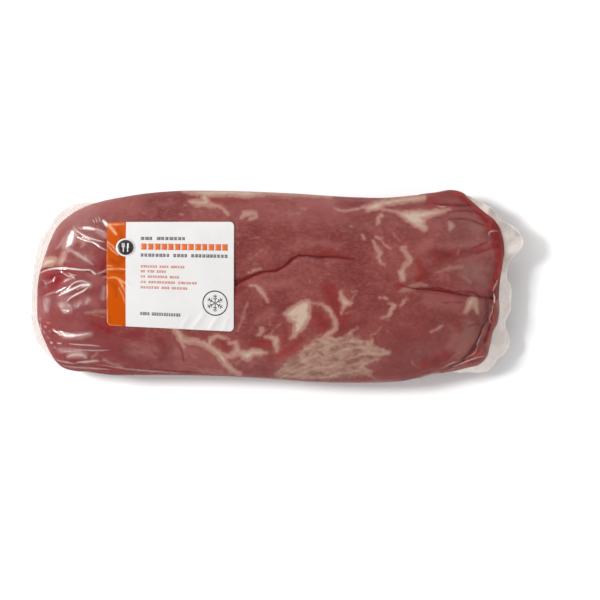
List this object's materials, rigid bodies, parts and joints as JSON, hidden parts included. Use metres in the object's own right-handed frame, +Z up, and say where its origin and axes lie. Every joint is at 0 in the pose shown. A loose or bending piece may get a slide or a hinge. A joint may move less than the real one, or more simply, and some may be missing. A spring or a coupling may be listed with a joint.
{
  "type": "vacuum-packed meat",
  "caption": "Two trimmed loins of raw meat side by side in a clear shrunk bag, with crinkled film ends and a paper label on top.",
  "frame": {"origin": "middle of the underside, under the middle of the pack's box", "axes": "+X along the pack, towards the end with the wide crinkled film; +Y to the back edge; +Z up, to the labelled side"},
  "size_m": [0.3446, 0.1362, 0.0431],
  "materials": {
    "meat_in_film": "raw meat seen through clear, tight, glossy film",
    "label_paper": "coated white paper with a printed field of colour along one side"
  },
  "bodies": {
    "root": {"vacuum_bag": "meat_in_film", "label": "label_paper"}
  },
  "joints": []
}
